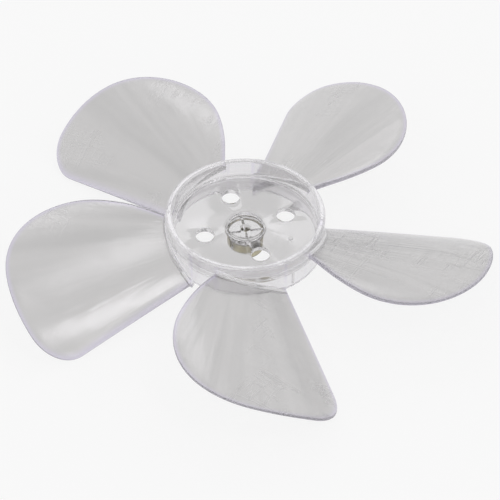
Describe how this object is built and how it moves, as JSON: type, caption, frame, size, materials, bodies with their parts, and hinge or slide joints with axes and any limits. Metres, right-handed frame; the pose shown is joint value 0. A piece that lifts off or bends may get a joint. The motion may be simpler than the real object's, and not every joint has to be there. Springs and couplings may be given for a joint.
{
  "type": "refrigerator fan blade",
  "caption": "Clear plastic axial fan blade with a cup-shaped hub, a split shaft boss and a spring clip that clamps it on a motor shaft.",
  "frame": {"origin": "the shaft axis at the end face of the boss, where the motor shaft enters", "axes": "+Z along the shaft axis, from the boss end towards the open cup of the hub"},
  "size_m": [0.145, 0.1449, 0.0182],
  "materials": {
    "clear_plastic": "clear moulded plastic, glossy, faintly hazy, with fine flow marks and a lilac cast at thick edges",
    "clip_metal": "spring steel strip with a dull brassy plating"
  },
  "bodies": {
    "root": {"impeller": "clear_plastic", "shaft_clip": "clip_metal"}
  },
  "joints": []
}
